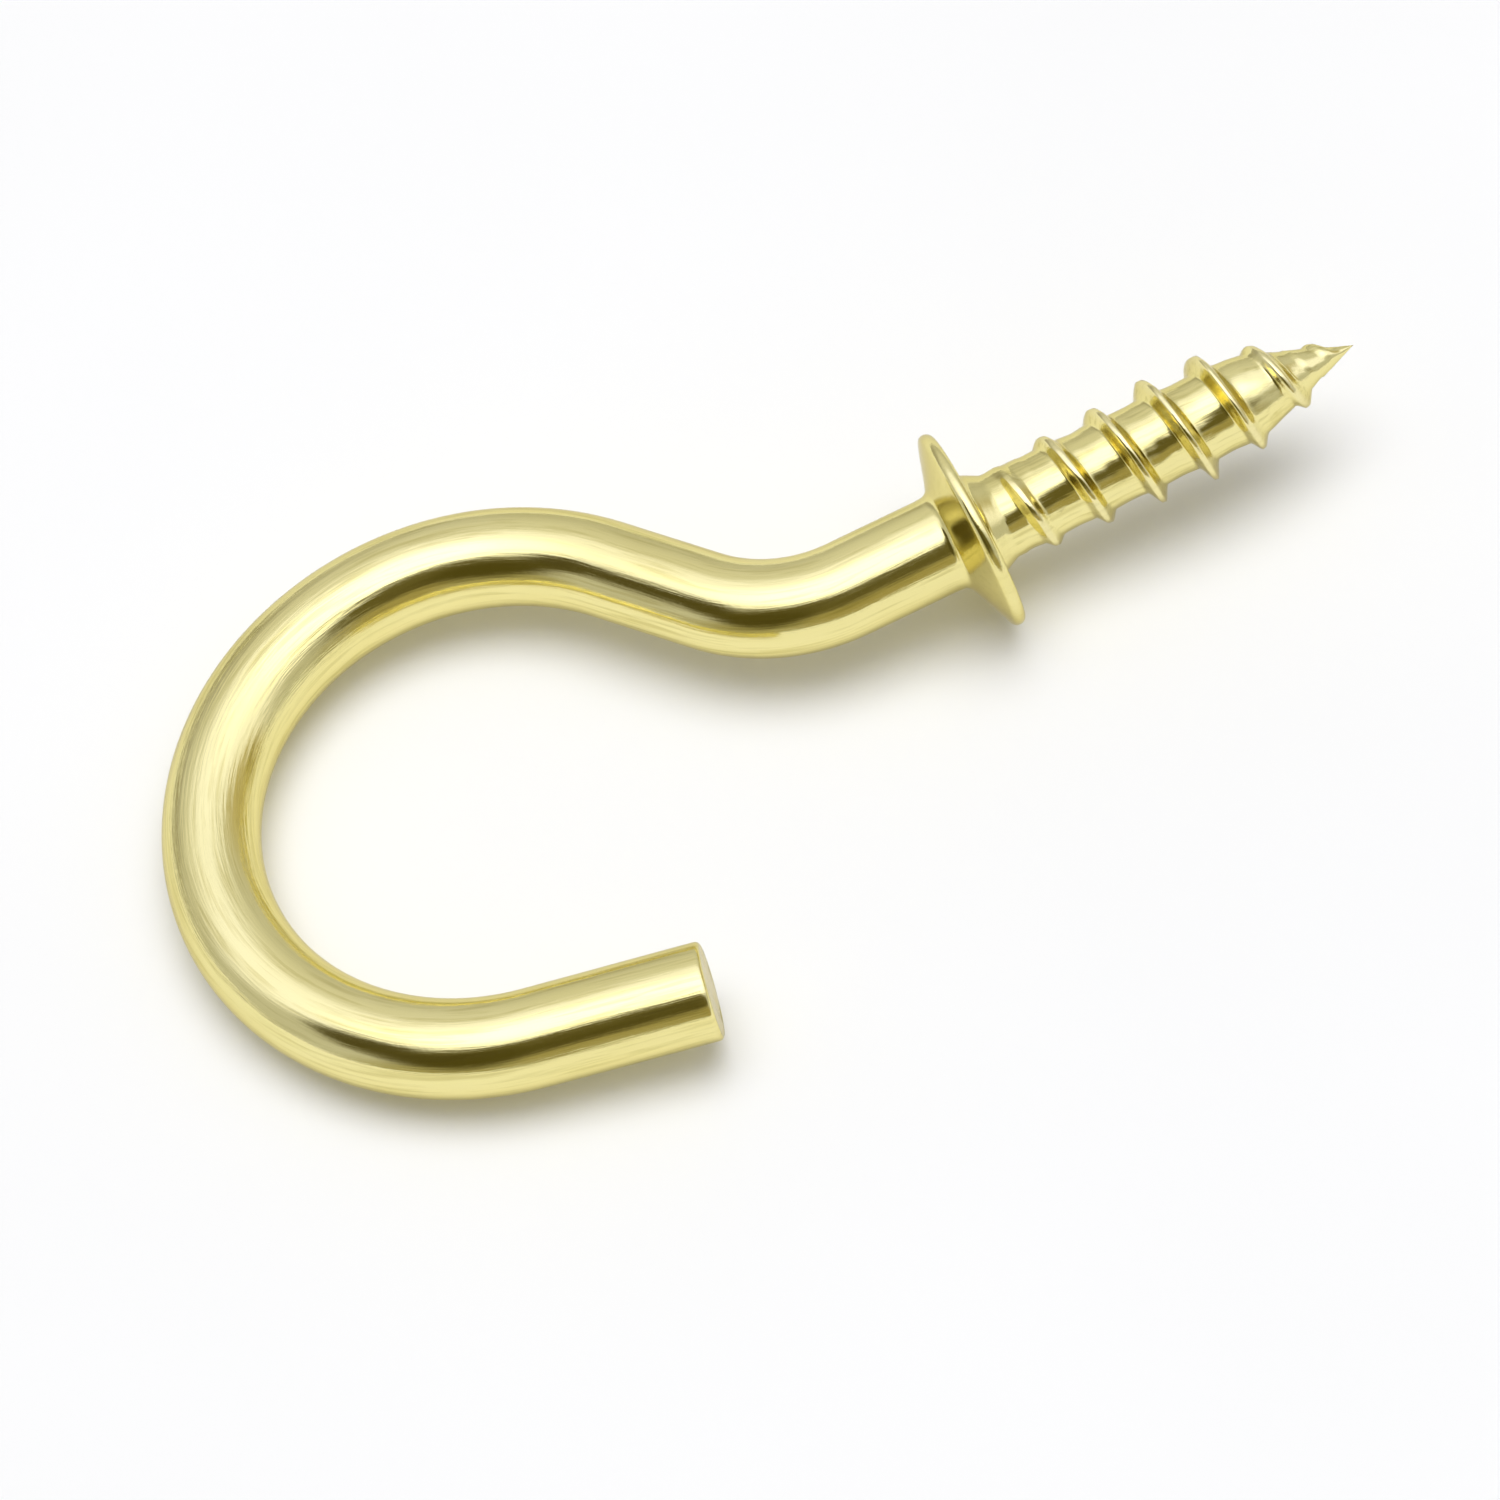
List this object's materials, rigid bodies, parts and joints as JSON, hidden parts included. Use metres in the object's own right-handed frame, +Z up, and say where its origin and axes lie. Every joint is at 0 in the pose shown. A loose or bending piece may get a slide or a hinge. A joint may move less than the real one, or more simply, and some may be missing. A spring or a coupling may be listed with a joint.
{
  "type": "ceiling hook",
  "caption": "Screw-in ceiling hook with a shoulder: a bent round wire with an open bowl below a thin collar and a pointed wood-screw thread, bright brass plated.",
  "frame": {"origin": "centre of the collar's flat seating face, on the screw's axis", "axes": "+Z up along the screw, into the ceiling; the hook hangs below in the XZ plane, with its free end on the +X side; +Y is square to the hook's plane"},
  "size_m": [0.02, 0.0062, 0.0378],
  "materials": {
    "bright_brass": "bright brass plating on steel wire, pale lemon gold"
  },
  "bodies": {
    "root": {"ceiling_hook": "bright_brass"}
  },
  "joints": []
}
